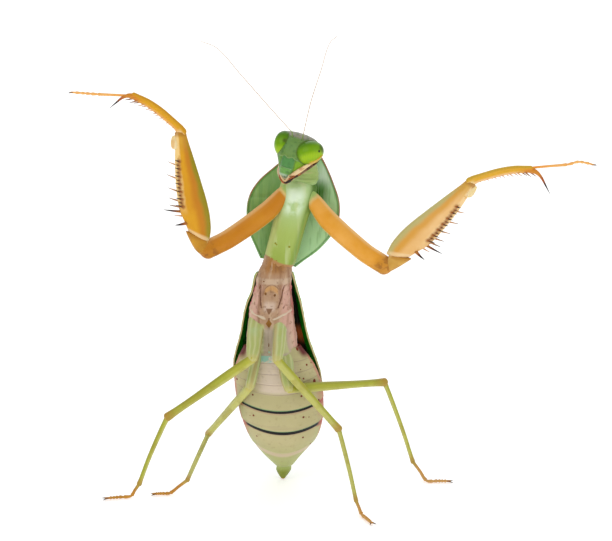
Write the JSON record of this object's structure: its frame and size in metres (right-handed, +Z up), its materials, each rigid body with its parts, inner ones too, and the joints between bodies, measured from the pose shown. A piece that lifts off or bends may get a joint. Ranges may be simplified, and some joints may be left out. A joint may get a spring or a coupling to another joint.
{
  "type": "mantis model",
  "caption": "Still life-size model of an adult female shield mantis standing upright, her spined forelegs raised and spread in a threat display and her wings folded along her back.",
  "frame": {"origin": "on the floor, under the middle of the model's box", "axes": "+Z up, -Y the way she faces, +X to her own left, along the spread of the raised forelegs"},
  "size_m": [0.1236, 0.0408, 0.1129],
  "materials": {
    "abdomen": "pale cream green, satin",
    "thorax": "pinkish tan, matt",
    "green": "yellow green, satin",
    "shield": "thin, slightly translucent blue green",
    "face": "blue green, satin",
    "eye": "lime green, glossy",
    "antenna": "pale pinkish tan",
    "mouth": "cream and tan, satin",
    "fore_coxa": "amber orange, satin",
    "fore_leg": "golden yellow with dark spines, satin",
    "walking_leg": "yellow green, satin",
    "tarsus": "ochre brown, satin",
    "tegmen": "bright green, satin",
    "hindwing": "smoky brown and black membrane",
    "tip": "green with a brown point"
  },
  "bodies": {
    "root": {"abdomen": "abdomen", "antenna_left": "antenna", "antenna_right": "antenna", "cercus_left": "walking_leg", "cercus_right": "walking_leg", "eye_left": "eye", "eye_right": "eye", "fore_coxa_left": "fore_coxa", "fore_coxa_right": "fore_coxa", "fore_femur_left": "fore_leg", "fore_femur_right": "fore_leg", "fore_tarsus_left": "tarsus", "fore_tarsus_right": "tarsus", "fore_tibia_left": "fore_leg", "fore_tibia_right": "fore_leg", "fore_trochanter_left": "fore_coxa", "fore_trochanter_right": "fore_coxa", "head": "face", "hind_left_coxa": "walking_leg", "hind_left_femur": "walking_leg", "hind_left_tarsus": "tarsus", "hind_left_tibia": "walking_leg", "hind_right_coxa": "walking_leg", "hind_right_femur": "walking_leg", "hind_right_tarsus": "tarsus", "hind_right_tibia": "walking_leg", "hindwing_left": "hindwing", "hindwing_right": "hindwing", "mesothorax": "thorax", "metathorax": "thorax", "mid_left_coxa": "walking_leg", "mid_left_femur": "walking_leg", "mid_left_tarsus": "tarsus", "mid_left_tibia": "walking_leg", "mid_right_coxa": "walking_leg", "mid_right_femur": "walking_leg", "mid_right_tarsus": "tarsus", "mid_right_tibia": "walking_leg", "mouthparts": "mouth", "neck": "green", "ovipositor": "tip", "pronotum": "shield", "prothorax": "green", "tegmen_left": "tegmen", "tegmen_right": "tegmen"}
  },
  "joints": []
}
